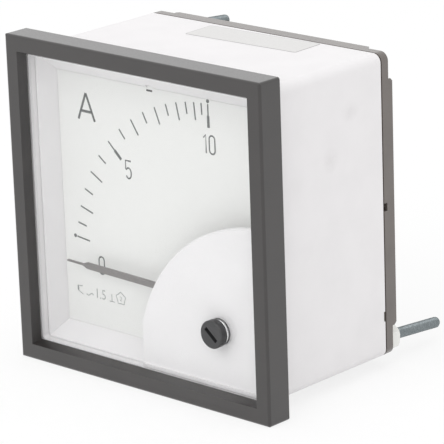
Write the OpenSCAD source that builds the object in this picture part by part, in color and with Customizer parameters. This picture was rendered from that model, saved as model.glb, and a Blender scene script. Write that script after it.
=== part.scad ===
// Analog panel meter, 72 mm square, moving iron, with a quarter-circle scale and its pivot in the lower right.
// +X runs to the right, +Z up and +Y back from the face. The origin is the middle of the face that seats on the
// panel, so what stands in front of the panel has a negative y. All sizes are in millimetres.

/* [Front] */
// Outer width and height of the bezel
bezel_w = 72; // [71:0.5:74]
// Depth of the bezel in front of the panel
bezel_t = 6; // [5.6:0.1:8]
// Width of the bezel's front rim
rim_w = 3.45; // [3.3:0.05:3.8]
// Radius of the bezel's front edges
bezel_edge_r = 0.55; // [0.3:0.05:0.7]
// Thickness of the window pane
pane_t = 1.2; // [1:0.1:1.4]

/* [Case] */
// Outer width and height of the case
case_w = 66; // [65.5:0.1:66]
// Rear edge of the case behind the panel face
case_rear_y = 34.5; // [34:0.5:48]
// Wall thickness of the case
case_wall = 1.2; // [1:0.1:1.3]
// Outer corner radius of the case
case_corner_r = 1.9; // [1.5:0.1:2.4]

/* [Dial] */
// Pivot of the pointer to the right of the centre
pivot_x = 14; // [13.5:0.1:14.5]
// Pivot of the pointer above the centre
pivot_z = -14.2; // [-14.5:0.1:-13.9]
// Length of the pointer from the pivot to its tip
pointer_r = 41.4; // [40:0.1:42]
// Front of the dial plate behind the panel face
dial_y = 3.6; // [3.5:0.1:4]

/* [Zero adjuster] */
// Diameter of the adjuster's head
adjuster_d = 6; // [5.8:0.1:7]
// Distance of the adjuster from the pivot
adjuster_r = 8.17; // [8:0.01:8.4]
// Direction of the adjuster from the pivot, below horizontal
adjuster_a = -39.5; // [-42:0.5:-37]
// Offset of the eccentric pin from the adjuster's axis
pin_offset = 1.5; // [1.3:0.1:1.6]

/* [Rear] */
// Thickness of the rear cover at its corners
cover_base_t = 2.4; // [2:0.1:3]
// Extra thickness of the rear cover's raised middle
cover_raise_t = 1.25; // [1:0.05:1.5]
// Sideways distance of each clamp rod from the centre
rod_x = 29.5; // [29:0.1:29.6]
// Vertical distance of each clamp rod from the centre
rod_z = 29.6; // [28.5:0.1:29.8]
// Diameter of the clamp rods over their thread
rod_d = 2.4; // [2.2:0.1:2.5]
// Diameter of the clamp rods' plain shank, held in the socket and the nut
rod_shank_d = 2.8; // [2.6:0.1:3]
// Diameter of the neck where the clamp rods' thread runs out behind the nut
rod_neck_d = 2; // [1.8:0.1:2]
// Tip of the clamp rods behind the panel face
rod_tip_y = 56; // [48:1:60]
// How far the loose clamp rods hang down, in degrees
rod_droop = 4.9; // [0:0.1:6]
// Sideways distance of each terminal stud from the centre
stud_x = 14; // [12:0.5:15]
// Height of the terminal studs above the centre
stud_z = 10; // [8:0.5:14]
// Diameter of the terminal studs
stud_d = 4; // [3.5:0.5:4]

/* [Hidden] */
$fn = 64;
// Gap between parts that fit together
fit = 0.05;
// Gap between a part and the thing pressed or screwed in it
snug = 0.02;
// Amount by which a cut runs past the surface it opens
past = 1;

// Layers from the front: pane, case edge, mechanism cover, bridge, surround
pane_y = -bezel_t + 2;
case_front_y = pane_y + pane_t;
cover_y = case_front_y + 0.4;
cover_t = 0.8;
bridge_t = 1.05;
bridge_rear_y = -0.4;
bridge_y = bridge_rear_y - bridge_t;
surround_y = -1;
dial_t = 0.5;
plate_y = dial_y + dial_t;
frame_y = plate_y + 1.2;
frame_t = 1.5;
coil_y = frame_y + frame_t;
coil_len = 14.2;
chamber_y = coil_y + coil_len;
chamber_len = 6;
lid_y = chamber_y + chamber_len;
lid_t = 1.2;

// Squares inside each other: bezel opening, pocket, case inside, surround
opening_w = bezel_w - 2 * rim_w;
inner_opening_w = opening_w - 1.7;
pocket_w = case_w + 0.2;
case_in_w = case_w - 2 * case_wall;
case_in_r = case_corner_r - case_wall;
surround_w = case_in_w - 0.2;

// Dial window at the foot of the funnel: half width, top and bottom
dial_half_w = 30;
dial_top = 27.3;
dial_bottom = -28.6;
// Tongue at the dial's top edge
tongue_x = -2.55;
tongue_w = 1.9;
tongue_h = 0.9;

// Zero adjuster, from the pivot
adjuster_x = pivot_x + adjuster_r * cos(adjuster_a);
adjuster_z = pivot_z + adjuster_r * sin(adjuster_a);
pin_r = 0.5;
neck_r = adjuster_d / 2 - 0.3;

// Spindle and its bearings
spindle_r = 0.6;
jewel_front_y = bridge_rear_y + 0.1;
spindle_front_y = -0.1;
spindle_rear_y = lid_y - 0.1;
jewel_rear_y = lid_y + 0.1;
cone_len = 0.67;
cup_r = 0.55;
front_jewel_r = 1;
rear_jewel_r = 1.25;

// Bridge pillars and the screws that hold the movement, by distance and angle from the pivot
pillar_r = 1.5;
pillar_at = 11.5;
pillar_angles = [0, -90];
frame_screw_at = 16;
frame_screw_angles = [110, 200, -30];
coil_screw_at = 15;
coil_screw_angles = [60, 240];
screw_r = 1;
lug_r = 2.4;

// Screws that hold the dial carrier to the case
carrier_screws_at = [[-26, 24], [26, 24], [-26, -25]];
boss_r = 2.6;
boss_len = 8;

// Coil
flange_r = 12.5;
flange_t = 1;
tube_r = 7;
bore_r = 6;
wire_r = 0.82;
coil_layers = 3;

// Rear cover and what passes through it
cover_rear_y = case_rear_y + cover_base_t;
raised_rear_y = cover_rear_y + cover_raise_t;
raised_half_w = 27.5;
raised_top = 27.3;
raised_bottom = -26.5;
tag_t = 0.8;
washer_t = 0.8;
spring_washer_t = 0.95;
nut_t = 2.4;
nut_flats = 7;
stud_len = 9;
clamp_nut_t = 2.9;
clamp_nut_y = cover_rear_y + 0.35;
rod_hang_y = 31;
clamp_nut_flats = 5.5;

// ---- Helpers -------------------------------------------------------------------------------------------

// A flat shape drawn as seen from the front, made solid from y0 back to y1
module slab(y0, y1) {
    translate([0, y1, 0]) rotate([90, 0, 0]) linear_extrude(y1 - y0) children();
}

// A profile of [radius, y] points turned about the y axis
module turned(angle = 360) {
    rotate([-90, 0, 0]) rotate_extrude(angle = angle) children();
}

// A round bar along y
module bar(r, y0, y1) {
    translate([0, y0, 0]) rotate([-90, 0, 0]) cylinder(r = r, h = y1 - y0);
}

// A cone along y
module cone(r0, r1, y0, y1) {
    translate([0, y0, 0]) rotate([-90, 0, 0]) cylinder(r1 = r0, r2 = r1, h = y1 - y0);
}

// A square with round corners, without hull so that its arcs stay true
module round_square(w, r) {
    square([w - 2 * r, w], center = true);
    square([w, w - 2 * r], center = true);
    for (sx = [-1, 1], sz = [-1, 1]) translate([sx, sz] * (w / 2 - r)) circle(r, $fn = 32);
}

// A strip of width w from the origin to the point (r, 0), with a round end
module strip(r, w) {
    translate([0, -w / 2]) square([r, w]);
    translate([r, 0]) circle(w / 2, $fn = 32);
}

module at_pivot() {
    translate([pivot_x, 0, pivot_z]) children();
}

module at_adjuster() {
    translate([adjuster_x, 0, adjuster_z]) children();
}

// A place at a distance and an angle, counted from +X towards +Z, from the pivot
module polar(r, angle) {
    translate([r * cos(angle), 0, r * sin(angle)]) children();
}

// The clamp rods stand on one diagonal and hang a little in their sockets
module at_rods() {
    for (s = [-1, 1]) translate([s * rod_x, rod_hang_y, -s * rod_z]) rotate([-rod_droop, 0, 0])
        translate([0, -rod_hang_y, 0]) children();
}

// The terminal studs stand side by side
module at_studs() {
    for (s = [-1, 1]) translate([s * stud_x, 0, stud_z]) children();
}

// A four-sided taper from one rectangle to another; each is [left, right, bottom, top]
module taper(a, b, y0, y1) {
    intersection() {
        translate([0, 0, -bezel_w]) linear_extrude(2 * bezel_w)
            polygon([[a[0], y0], [a[1], y0], [b[1], y1], [b[0], y1]]);
        translate([-bezel_w, 0, 0]) rotate([90, 0, 90]) linear_extrude(2 * bezel_w)
            polygon([[y0, a[2]], [y1, b[2]], [y1, b[3]], [y0, a[3]]]);
    }
}

function square_limits(w) = [-w / 2, w / 2, -w / 2, w / 2];

// A hexagon nut with turned-off corners, standing on y = 0
module hex_nut(flats, t, bore_r) {
    corner_r = flats / sqrt(3);
    chamfer = 0.12 * flats;
    difference() {
        intersection() {
            rotate([-90, 30, 0]) cylinder(r = corner_r, h = t, $fn = 6);
            turned() polygon([[0, 0], [corner_r - chamfer / 2, 0], [corner_r, chamfer / 2],
                [corner_r, t - chamfer / 2], [corner_r - chamfer / 2, t], [0, t]]);
        }
        bar(bore_r, -past, t + past);
    }
}

// A cheese-head screw: head from y = 0 towards -head_t, shank to len, slot in the head
module cheese_screw(r, len, head_r, head_t) {
    difference() {
        union() {
            bar(head_r, -head_t, 0);
            bar(r, 0, len);
        }
        translate([0, -head_t, 0]) cube([3 * head_r, head_t, 0.5], center = true);
    }
}

// A countersunk screw whose head is flush with y = 0
module flush_screw(r, len, head_r, head_t) {
    difference() {
        union() {
            cone(head_r, r, 0, head_t);
            bar(r, 0, len);
        }
        cube([3 * head_r, 0.7, 0.4], center = true);
    }
}

// A wire along straight runs between points, round at each corner
module wire(points, r) {
    for (i = [0 : len(points) - 2]) {
        run = points[i + 1] - points[i];
        translate(points[i]) rotate([0, acos(run[2] / norm(run)), atan2(run[1], run[0])])
            cylinder(r = r, h = norm(run), $fn = 24);
    }
    for (i = [1 : len(points) - 2]) translate(points[i]) sphere(r, $fn = 24);
}

// ---- Front ---------------------------------------------------------------------------------------------

// Side profile of the bezel, as [across, y], with round front edges
module bezel_profile() {
    half = bezel_w / 2;
    r = bezel_edge_r;
    translate([-half, r - bezel_t]) square([bezel_w, bezel_t - r]);
    translate([r - half, -bezel_t]) square([bezel_w - 2 * r, r]);
    for (s = [-1, 1]) translate([s * (half - r), r - bezel_t]) circle(r, $fn = 32);
}

// Half-round ridges on the case's four sides, or the grooves for them in the bezel
module snap_ridges(r, len) {
    for (a = [0 : 90 : 270]) rotate([0, a, 0])
        translate([-len / 2, case_front_y + 1.4, case_w / 2]) rotate([0, 90, 0])
            cylinder(r = r, h = len, $fn = 24);
}

module front_bezel() {
    color("#5f5b5a") difference() {
        intersection() {
            translate([0, 0, -bezel_w / 2]) linear_extrude(bezel_w) bezel_profile();
            translate([-bezel_w / 2, 0, 0]) rotate([90, 0, 90]) linear_extrude(bezel_w)
                mirror([1, -1]) bezel_profile();
            slab(-bezel_t, 0) round_square(bezel_w, bezel_edge_r);
        }
        taper(square_limits(opening_w + 0.85), square_limits(inner_opening_w), -bezel_t - past, pane_y);
        slab(pane_y - past, 0) square(inner_opening_w, center = true);
        slab(pane_y, past) round_square(pocket_w, case_corner_r + 0.1);
        snap_ridges(0.45, 17);
    }
}

module window_pane() {
    color("#e8f0f0", 0.35) difference() {
        slab(pane_y, case_front_y) round_square(case_w, case_corner_r);
        at_adjuster() bar(neck_r + fit, pane_y - past, case_front_y + past);
    }
}

// ---- Case ----------------------------------------------------------------------------------------------

latch_half_w = 4;
latch_y = case_rear_y - 6.5;

module case_shell() {
    difference() {
        slab(case_front_y, case_rear_y) round_square(case_w, case_corner_r);
        slab(case_front_y - past, case_rear_y + past) round_square(case_in_w, case_in_r);
        // pockets for the rear cover's latches
        translate([-case_in_w / 2 - 0.6, latch_y - 0.1, -latch_half_w - 0.2])
            cube([case_in_w + 1.2, 1.7, 2 * latch_half_w + 0.4]);
        // pry notch low in the right edge
        translate([case_w / 2 - 2, case_rear_y - 0.4, -25]) cube([3, past, 2.2]);
    }
    snap_ridges(0.35, 16);
}

// Bosses for the carrier screws, each tied to two walls
module case_bosses() {
    reach = case_in_w / 2 + case_wall / 2;
    rib = 1.6;
    for (p = carrier_screws_at) {
        translate([p[0], 0, p[1]]) bar(boss_r, frame_y, frame_y + boss_len);
        slab(frame_y, frame_y + boss_len) {
            translate([min(p[0], sign(p[0]) * reach), p[1] - rib / 2]) square([reach - abs(p[0]), rib]);
            translate([p[0] - rib / 2, min(p[1], sign(p[1]) * reach)]) square([rib, reach - abs(p[1])]);
        }
    }
}

module case() {
    color("#eceaec") difference() {
        union() {
            case_shell();
            case_bosses();
        }
        for (p = carrier_screws_at) translate([p[0], 0, p[1]])
            bar(0.9 + snug, frame_y - past, frame_y + boss_len - past);
    }
}

// ---- Dial and surround ---------------------------------------------------------------------------------

// Opening behind the dial for the movement: a round hole that widens in the lower right quarter
module movement_hole() {
    reach = pillar_at + 2;
    at = [pivot_x, pivot_z];
    translate(at) circle(9.5);
    intersection() {
        translate(at) circle(reach);
        translate(at - [2, reach]) square(reach + 2);
    }
}

module dial_outline(gap) {
    translate([gap - dial_half_w, dial_bottom + gap])
        square([2 * (dial_half_w - gap), dial_top - dial_bottom - 2 * gap]);
}

module dial_surround() {
    mouth = surround_w - 0.6;
    color("#e9e9ee") difference() {
        slab(surround_y, frame_y) round_square(surround_w, case_in_r + 0.1);
        taper(square_limits(mouth), [-dial_half_w, dial_half_w, dial_bottom, dial_top], surround_y, dial_y);
        slab(dial_y - 0.01, plate_y) dial_outline(0);
        slab(dial_y - 0.7, plate_y) translate([tongue_x - tongue_w / 2 - 0.1, dial_top - fit])
            square([tongue_w + 0.2, tongue_h + 0.2]);
        slab(plate_y - past / 2, frame_y + past) movement_hole();
        for (p = carrier_screws_at) translate([p[0], plate_y, p[1]]) {
            cone(2.05, 1.1, 0, 1.05);
            bar(1.1, 0, frame_y);
        }
        at_pivot() for (a = frame_screw_angles) polar(frame_screw_at, a)
            bar(0.8 + snug, plate_y - past / 2, frame_y + past);
    }
}

module dial_plate() {
    color("#ebedea") slab(dial_y, plate_y) difference() {
        union() {
            dial_outline(fit);
            translate([tongue_x - tongue_w / 2, dial_top - 0.1]) square([tongue_w, tongue_h]);
        }
        movement_hole();
    }
}

// ---- Mechanism cover: a quarter-round cup with its centre in the lower right corner ------------------------

// The corner of the case that the cover may fill
module cover_limits(left, far, top) {
    intersection() {
        round_square(2 * far, case_in_r + 0.1);
        translate([left, -far]) square([far - left, far + top]);
    }
}

module mechanism_cover() {
    left = -1.8;
    far = surround_w / 2 - fit;
    top = 5;
    centre = [32.5, -31.7];
    r = 35.9;
    edge = 0.35;
    rear = cover_y + cover_t;
    skirt = surround_y;
    color("#edeef0") difference() {
        union() {
            intersection() {
                translate([centre[0], 0, centre[1]]) turned() polygon([[0, cover_y], [r - edge, cover_y],
                    [r, cover_y + edge], [r, skirt], [r - cover_t, skirt], [r - cover_t, rear], [0, rear]]);
                slab(cover_y, skirt) cover_limits(left, far, top);
            }
            // left wall, and the bottom and right walls that stand on the surround and bear on the pane
            slab(cover_y, skirt) translate([left, -far]) square([cover_t, far - 21.3]);
            slab(case_front_y, skirt) difference() {
                cover_limits(left, far, 4);
                translate([left - past, cover_t - far]) square([far - left - cover_t + past, 2 * far]);
            }
        }
        at_adjuster() bar(2.3, cover_y - past, skirt + past);
    }
}

// ---- Zero adjuster and its lever -----------------------------------------------------------------------

module zero_adjuster() {
    head_y = -bezel_t + 0.2;
    head_rear_y = pane_y - 0.1;
    r = adjuster_d / 2;
    flange_y = case_front_y + fit;
    color("#4a4a4a") at_adjuster() rotate([0, -adjuster_a, 0]) {
        difference() {
            turned() polygon([[0, head_y], [r - 0.25, head_y], [r, head_y + 0.25], [r, head_rear_y],
                [neck_r, head_rear_y], [neck_r, flange_y], [neck_r + 0.15, flange_y],
                [neck_r + 0.15, cover_y - fit], [2, cover_y - fit], [2, cover_y + cover_t + 0.4],
                [0, cover_y + cover_t + 0.4]]);
            translate([-1.9, head_y - past, -0.45]) cube([3.8, past + 1.2, 0.9]);
        }
        translate([pin_offset, 0, 0]) bar(pin_r, cover_y + cover_t, 2.75);
    }
}

journal_r = 1.5;
lever_y = 2.1;
lever_t = 0.5;
spring_stud_at = 4.75;
spring_stud_a = 120;

module zero_lever() {
    fork_w = 2 * pin_r + 0.2;
    pin_at = adjuster_r + pin_offset;
    color("#c8b070") at_pivot() {
        difference() {
            slab(lever_y, lever_y + lever_t) difference() {
                union() {
                    circle(2.6);
                    rotate(adjuster_a) strip(pin_at + 0.6, fork_w + 1.6);
                    rotate(spring_stud_a) strip(spring_stud_at, 1.6);
                }
                circle(journal_r + fit);
                rotate(adjuster_a) translate([pin_at - 1.6, -fork_w / 2]) square([6, fork_w]);
            }
        }
        polar(spring_stud_at, spring_stud_a) bar(0.4, 1.4, lever_y + lever_t);
    }
}

// ---- Moving element ------------------------------------------------------------------------------------

// Flat spiral from the collet to the stud on the zero lever
module hairspring() {
    turns = 4 + spring_stud_a / 360;
    r0 = 1.35;
    r1 = spring_stud_at - 0.52;
    t = 0.09;
    steps = 24 * 4 + 8;
    function at(i, d) = (r0 + (r1 - r0) * i / steps + d) * [cos(360 * turns * i / steps),
        sin(360 * turns * i / steps)];
    color("#c9a35a") at_pivot() slab(1.5, 1.8) polygon(concat(
        [for (i = [0 : steps]) at(i, t / 2)], [for (i = [steps : -1 : 0]) at(i, -t / 2)]));
}

module spindle() {
    collet_r = 1.2;
    color("#b8bcc0") at_pivot() {
        cone(0, 0.35, spindle_front_y - cone_len, spindle_front_y);
        bar(spindle_r, spindle_front_y, spindle_rear_y);
        cone(0.35, 0, spindle_rear_y, spindle_rear_y + cone_len);
        bar(collet_r, 1.45, 1.85);
    }
}

// Bar pointer that leans back towards the dial, narrowed by shoulders to a needle
module pointer() {
    bar_half = 0.725;
    needle_half = 0.2;
    needle_from = pointer_r - 5;
    knee = 13;
    front = -0.1;
    lean = 1.35;
    t = 0.4;
    color("#8f8c8b") at_pivot() difference() {
        union() {
            intersection() {
                // side view: flat to the knee, then sloping back
                translate([0, 0, -2]) linear_extrude(4) polygon([[0, front], [-knee, front],
                    [-pointer_r, front + lean], [-pointer_r, front + lean + t], [-knee, front + t],
                    [0, front + t]]);
                // front view
                slab(front - past, front + lean + past) polygon([[0, bar_half],
                    [-needle_from + 1.4, bar_half], [-needle_from, needle_half],
                    [-pointer_r + 0.2, needle_half], [-pointer_r, 0], [-pointer_r + 0.2, -needle_half],
                    [-needle_from, -needle_half], [-needle_from + 1.4, -bar_half], [0, -bar_half]]);
            }
            bar(1.6, front, 1);
        }
        bar(spindle_r + snug, front - past, 1 + past);
    }
}

cross_y = 1.02;
cross_t = 0.35;
arm_len = 6.4;
// Angle and distance of each balance weight; their distances differ because they trim the balance
weights = [[-45, 4.4], [45, 5.2]];
weight_r = 1.4;

module balance_cross() {
    color("#b0b4b8") at_pivot() slab(cross_y, cross_y + cross_t) difference() {
        union() {
            circle(1.5);
            for (w = weights) rotate(w[0]) strip(arm_len, 0.9);
        }
        circle(spindle_r + snug);
    }
}

module balance_weights() {
    color("#c2a25a") at_pivot() for (w = weights) polar(w[1], w[0]) bar(weight_r, -0.1, cross_y);
}

// Direction of the moving iron's web at rest
iron_a = -26;

// Curved soft-iron vane on a web from the spindle, inside the coil
module moving_iron() {
    t = 0.4;
    r = 4.7;
    color("#8a8f94") at_pivot() slab(coil_y + 2.6, coil_y + 11.6) difference() {
        union() {
            circle(1);
            rotate(iron_a) translate([0, -t / 2]) square([r - t / 2, t]);
            intersection() {
                difference() {
                    circle(r);
                    circle(r - t);
                }
                rotate(iron_a) translate([0, -t / 2]) polygon([[0, 0], [6, 0], [6, 6], [1.6, 6]]);
            }
        }
        circle(spindle_r + snug);
    }
}

// Direction of the damping vane at rest, and the clear angle on either side of its travel
vane_a = 190;
vane_clear = 18;

// Thin ribbed paddle that fans air in the damping chamber
module damping_vane() {
    y0 = chamber_y + 1.4;
    y1 = lid_y - 0.4;
    color("#c4c8cc") at_pivot() difference() {
        union() {
            bar(1.3, y0, y1);
            slab(y0, y1) rotate(vane_a) translate([0, -0.15]) square([11.7, 0.3]);
            slab((y0 + y1) / 2 - 0.15, (y0 + y1) / 2 + 0.15) rotate(vane_a) translate([4, -0.5])
                square([7.4, 1]);
        }
        bar(spindle_r + snug, y0 - past, y1 + past);
    }
}

// ---- Bearings and frame --------------------------------------------------------------------------------

module front_jewel_screw() {
    color("#c8b070") at_pivot() difference() {
        bar(front_jewel_r, bridge_y, jewel_front_y);
        cone(0, cup_r, jewel_front_y - cup_r, jewel_front_y + 0.001);
        translate([0, bridge_y, 0]) cube([3, 0.5, 0.3], center = true);
    }
}

module rear_jewel_screw() {
    rear = jewel_rear_y + 4;
    color("#c8b070") at_pivot() difference() {
        bar(rear_jewel_r, jewel_rear_y, rear);
        cone(cup_r, 0, jewel_rear_y - 0.001, jewel_rear_y + cup_r);
        translate([0, rear, 0]) cube([3, 1.2, 0.5], center = true);
    }
}

module bearing_bridge() {
    color("#b9a878") at_pivot() difference() {
        slab(bridge_y, bridge_rear_y) {
            circle(2.6);
            for (a = pillar_angles) rotate(a) strip(pillar_at, 3.6);
        }
        bar(front_jewel_r + snug, bridge_y - past, past);
        for (a = pillar_angles) polar(pillar_at, a) {
            translate([0, bridge_y, 0]) cone(1.52, 0.82, 0, 0.7);
            bar(0.82, bridge_y, past);
        }
    }
}

module bridge_pillars() {
    spigot_r = 0.98;
    color("#c2b280") at_pivot() for (a = pillar_angles) polar(pillar_at, a) difference() {
        union() {
            bar(pillar_r, bridge_rear_y, frame_y);
            bar(spigot_r, frame_y, frame_y + frame_t);
        }
        bar(0.8 + snug, bridge_rear_y - past, 3.4);
    }
}

module bridge_screws() {
    color("#c9ccd0") at_pivot() for (a = pillar_angles) polar(pillar_at, a) translate([0, bridge_y, 0])
        flush_screw(0.8, 4.2, 1.5, 0.7);
}

module movement_frame() {
    rear = frame_y + frame_t;
    color("#a9a59a") at_pivot() difference() {
        union() {
            slab(frame_y, rear) {
                circle(13.4);
                for (a = frame_screw_angles) rotate(a) strip(frame_screw_at, 2 * lug_r);
                for (a = coil_screw_angles) rotate(a) strip(coil_screw_at, 2 * lug_r);
            }
            // stepped boss that the zero lever turns on, with a rolled lip in front
            turned() polygon([[0, 1.95], [1.8, 1.95], [1.8, lever_y - fit], [journal_r, lever_y - fit],
                [journal_r, lever_y + lever_t + fit], [2.6, lever_y + lever_t + fit], [2.6, frame_y + 0.5],
                [0, frame_y + 0.5]]);
        }
        bar(0.9, 0, rear + past);
        for (a = pillar_angles) polar(pillar_at, a) bar(1, frame_y - past, rear + past);
        for (a = frame_screw_angles) polar(frame_screw_at, a) bar(0.9, frame_y - past, rear + past);
        for (a = coil_screw_angles) polar(coil_screw_at, a) bar(screw_r + snug, frame_y - past, rear + past);
    }
}

module frame_screws() {
    color("#c9ccd0") at_pivot() for (a = frame_screw_angles) polar(frame_screw_at, a)
        translate([0, coil_y, 0]) rotate([0, 0, 180]) cheese_screw(0.8, frame_t + 0.9, 1.6, 1);
}

module carrier_screws() {
    color("#c9ccd0") for (p = carrier_screws_at) translate([p[0], plate_y, p[1]])
        flush_screw(0.9, 7, 1.95, 1);
}

// ---- Coil ----------------------------------------------------------------------------------------------

module coil_bobbin() {
    rear = coil_y + coil_len;
    color("#2f2f2f") at_pivot() turned() polygon([[bore_r, coil_y], [flange_r, coil_y],
        [flange_r, coil_y + flange_t], [tube_r, coil_y + flange_t], [tube_r, rear - flange_t],
        [flange_r, rear - flange_t], [flange_r, rear], [bore_r, rear]]);
}

// Thick wire in layers; each turn shows as a round ring
module coil_winding() {
    from = coil_y + flange_t;
    to = coil_y + coil_len - flange_t;
    turns = floor((to - from) / (2 * wire_r));
    pitch = (to - from) / turns;
    outer = tube_r + coil_layers * 1.75 * wire_r;
    color("#b8763c") at_pivot() turned() {
        translate([tube_r + snug, from]) square([outer - tube_r - wire_r, to - from]);
        for (i = [0 : turns - 1]) translate([outer - wire_r, from + (i + 0.5) * pitch])
            circle(wire_r, $fn = 24);
    }
}

// Bent soft-iron plate fixed in the bobbin's bore
module fixed_iron() {
    color("#7f858a") at_pivot() slab(coil_y + 1.2, coil_y + 13) intersection() {
        difference() {
            circle(bore_r - fit);
            circle(bore_r - 0.6);
        }
        rotate(-75) translate([0, -8]) square([8, 16]);
    }
}

// ---- Air damper ----------------------------------------------------------------------------------------

chamber_r = 13;
chamber_in_r = 12.1;

module damper_lugs(y0, y1) {
    slab(y0, y1) for (a = coil_screw_angles) rotate(a) strip(coil_screw_at, 2 * lug_r - 0.8);
}

module damping_chamber() {
    floor_t = 1;
    color("#d8d8d4") at_pivot() difference() {
        union() {
            bar(chamber_r, chamber_y, lid_y);
            damper_lugs(chamber_y, lid_y);
        }
        // the air space: a sector round the vane's sweep, and the hub's room
        slab(chamber_y + floor_t, lid_y + past) {
            circle(1.9);
            intersection() {
                circle(chamber_in_r);
                for (a = [vane_a - 90 - vane_clear, vane_a - 90 + vane_clear]) rotate(a)
                    square(chamber_in_r + 1);
            }
        }
        bar(1, chamber_y - past, lid_y);
        for (a = coil_screw_angles) polar(coil_screw_at, a) bar(screw_r + fit, chamber_y - past, lid_y + past);
    }
}

module damping_lid() {
    rear = lid_y + lid_t;
    color("#d8d8d4") at_pivot() difference() {
        union() {
            bar(chamber_r, lid_y, rear);
            damper_lugs(lid_y, rear);
            bar(2.8, rear, rear + 1.6);
        }
        bar(rear_jewel_r + snug, lid_y - past, rear + 2 + past);
        for (a = coil_screw_angles) polar(coil_screw_at, a) bar(screw_r + fit, lid_y - past, rear + past);
    }
}

module coil_screws() {
    head_y = lid_y + lid_t;
    color("#c9ccd0") at_pivot() for (a = coil_screw_angles) polar(coil_screw_at, a)
        translate([0, head_y, 0]) rotate([0, 0, 180]) cheese_screw(screw_r, head_y - frame_y, 1.9, 1.3);
}

// ---- Connections ---------------------------------------------------------------------------------------

lead_r = 0.8;
tag_y = case_rear_y - tag_t;
tag_neck = 4.6;

// The heavy wires run from the last turns, beside the damper, to the tags on the studs
module coil_leads() {
    side_r = tube_r + 2.6 * wire_r + 2;
    start_y = coil_y + coil_len - flange_t - lead_r - 0.2;
    right_x = pivot_x + flange_r + 1;
    left_x = pivot_x - flange_r - 1;
    level = stud_z - tag_neck - 0.4;
    color("#b8763c") {
        wire([[right_x, start_y, pivot_z + 3], [right_x, start_y, level], [right_x, tag_y - lead_r, level],
            [stud_x, tag_y - lead_r, level]], lead_r);
        wire([[left_x, start_y, pivot_z + 3], [left_x, start_y, level], [-stud_x, start_y, level],
            [-stud_x, tag_y - lead_r, level]], lead_r);
    }
}

module lead_tags() {
    color("#c9ccd0") at_studs() slab(tag_y, case_rear_y) difference() {
        union() {
            circle(stud_d / 2 + 1.8);
            rotate(-90) strip(tag_neck + 0.4, 2.6);
        }
        circle(stud_d / 2 + 0.1);
    }
}

module terminal_studs() {
    head_t = 2.8;
    end = raised_rear_y + stud_len + 1.4;
    r = stud_d / 2;
    color("#c3b98a") at_studs() {
        translate([0, tag_y - head_t, 0]) rotate([-90, 30, 0])
            cylinder(r = nut_flats / sqrt(3), h = head_t, $fn = 6);
        turned() polygon([[0, tag_y - 1], [r, tag_y - 1], [r, end - 0.5], [r - 0.5, end], [0, end]]);
    }
}

first_nut_y = raised_rear_y + washer_t;
second_washer_y = first_nut_y + nut_t;
spring_washer_y = second_washer_y + washer_t;
second_nut_y = spring_washer_y + spring_washer_t;

module terminal_nuts() {
    color("#c3b98a") at_studs() for (y = [first_nut_y, second_nut_y]) translate([0, y, 0])
        hex_nut(nut_flats, nut_t, stud_d / 2 + snug);
}

module terminal_washers() {
    color("#cfc59a") at_studs() for (y = [raised_rear_y, second_washer_y]) slab(y, y + washer_t) difference() {
        circle(stud_d + 0.5);
        circle(stud_d / 2 + 0.15);
    }
}

// Split rings
module spring_washers() {
    color("#b4b8bc") at_studs() slab(spring_washer_y, second_nut_y) difference() {
        circle(stud_d / 2 + 1.6);
        circle(stud_d / 2 + 0.15);
        rotate(20) translate([0, -0.25]) square([6, 0.5]);
    }
}

// ---- Rear cover and clamp rods -------------------------------------------------------------------------

module rear_latches() {
    outer = case_in_w / 2 - 0.3;
    hook = 0.8;
    for (s = [0, 180]) rotate([0, s, 0]) translate([outer, 0, 0]) {
        translate([-1.2, latch_y, -latch_half_w]) cube([1.2, case_rear_y - latch_y + 0.5, 2 * latch_half_w]);
        translate([-past, 0, -latch_half_w]) linear_extrude(2 * latch_half_w)
            polygon([[0, latch_y], [past + 0.2, latch_y], [past + hook, latch_y + 0.9],
                [past + hook, latch_y + 1.5], [0, latch_y + 1.5]]);
    }
}

// One arm of the rear cover's raised cross, bevelled at its two ends
module raised_band(low, high) {
    bevel = 0.6;
    translate([-case_w / 2, 0, 0]) rotate([90, 0, 90]) linear_extrude(case_w)
        polygon([[cover_rear_y - 0.5, low], [raised_rear_y - bevel, low], [raised_rear_y, low + bevel],
            [raised_rear_y, high - bevel], [raised_rear_y - bevel, high], [cover_rear_y - 0.5, high]]);
}

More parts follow.
